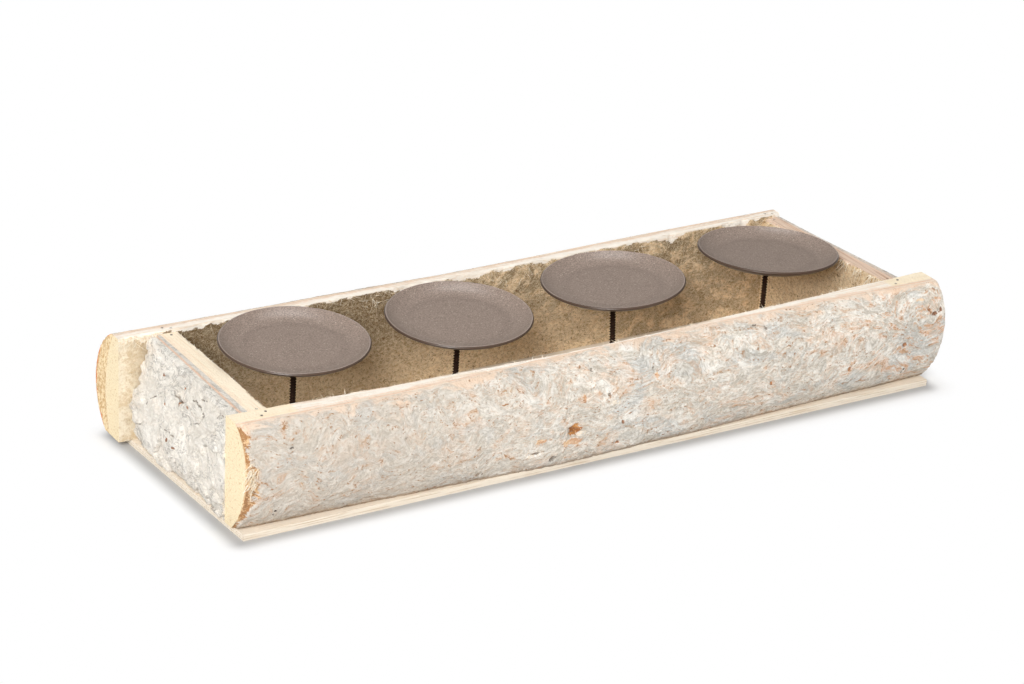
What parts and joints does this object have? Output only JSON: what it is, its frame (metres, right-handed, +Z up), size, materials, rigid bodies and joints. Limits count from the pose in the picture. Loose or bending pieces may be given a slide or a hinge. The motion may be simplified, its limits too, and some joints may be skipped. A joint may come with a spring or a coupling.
{
  "type": "advent candle holder",
  "caption": "Long tray of split-log slabs with the bark left on, holding a row of round metal candle dishes that screw up and down on their stems.",
  "frame": {"origin": "middle of the underside of the whole tray", "axes": "+X along the tray, +Y from the front slab to the back slab, +Z up"},
  "size_m": [0.552, 0.1996, 0.0909],
  "materials": {
    "sawn_wood": "rough sawn, unfinished",
    "bark": "pale rough bark, limed",
    "plywood": "raw plywood",
    "dish_coating": "matt taupe textured coating",
    "dark_screw": "dark satin",
    "nail_steel": "plain"
  },
  "bodies": {
    "tray": {"base_board": "plywood", "front_slab": "sawn_wood", "back_slab": "sawn_wood", "left_end_board": "sawn_wood", "right_end_board": "sawn_wood", "screw_strip": "sawn_wood", "front_bark": "bark", "back_bark": "bark", "left_end_bark": "bark", "right_end_bark": "bark", "corner_brads": "nail_steel", "slab_top_pins": "nail_steel", "end_top_pins": "nail_steel", "base_nails": "nail_steel", "strip_nails": "nail_steel"},
    "dish_1": {"candle_dish_1": "dish_coating", "dish_screw_1": "dark_screw"},
    "dish_2": {"candle_dish_2": "dish_coating", "dish_screw_2": "dark_screw"},
    "dish_3": {"candle_dish_3": "dish_coating", "dish_screw_3": "dark_screw"},
    "dish_4": {"candle_dish_4": "dish_coating", "dish_screw_4": "dark_screw"}
  },
  "joints": [
    {"name": "dish_1_height", "type": "slide", "parent": "tray", "child": "dish_1", "axis": [-0.0052, -0.0401, 0.9992], "range_m": [-0.0054, 0.0056]},
    {"name": "dish_2_height", "type": "slide", "parent": "tray", "child": "dish_2", "axis": [-0.007, -0.0488, 0.9988], "range_m": [-0.001, 0.01]},
    {"name": "dish_3_height", "type": "slide", "parent": "tray", "child": "dish_3", "axis": [-0.0454, 0.0157, 0.9988], "range_m": [-0.0022, 0.0088]},
    {"name": "dish_4_height", "type": "slide", "parent": "tray", "child": "dish_4", "axis": [0.0506, 0.0366, 0.998], "range_m": [-0.0013, 0.0097]}
  ]
}
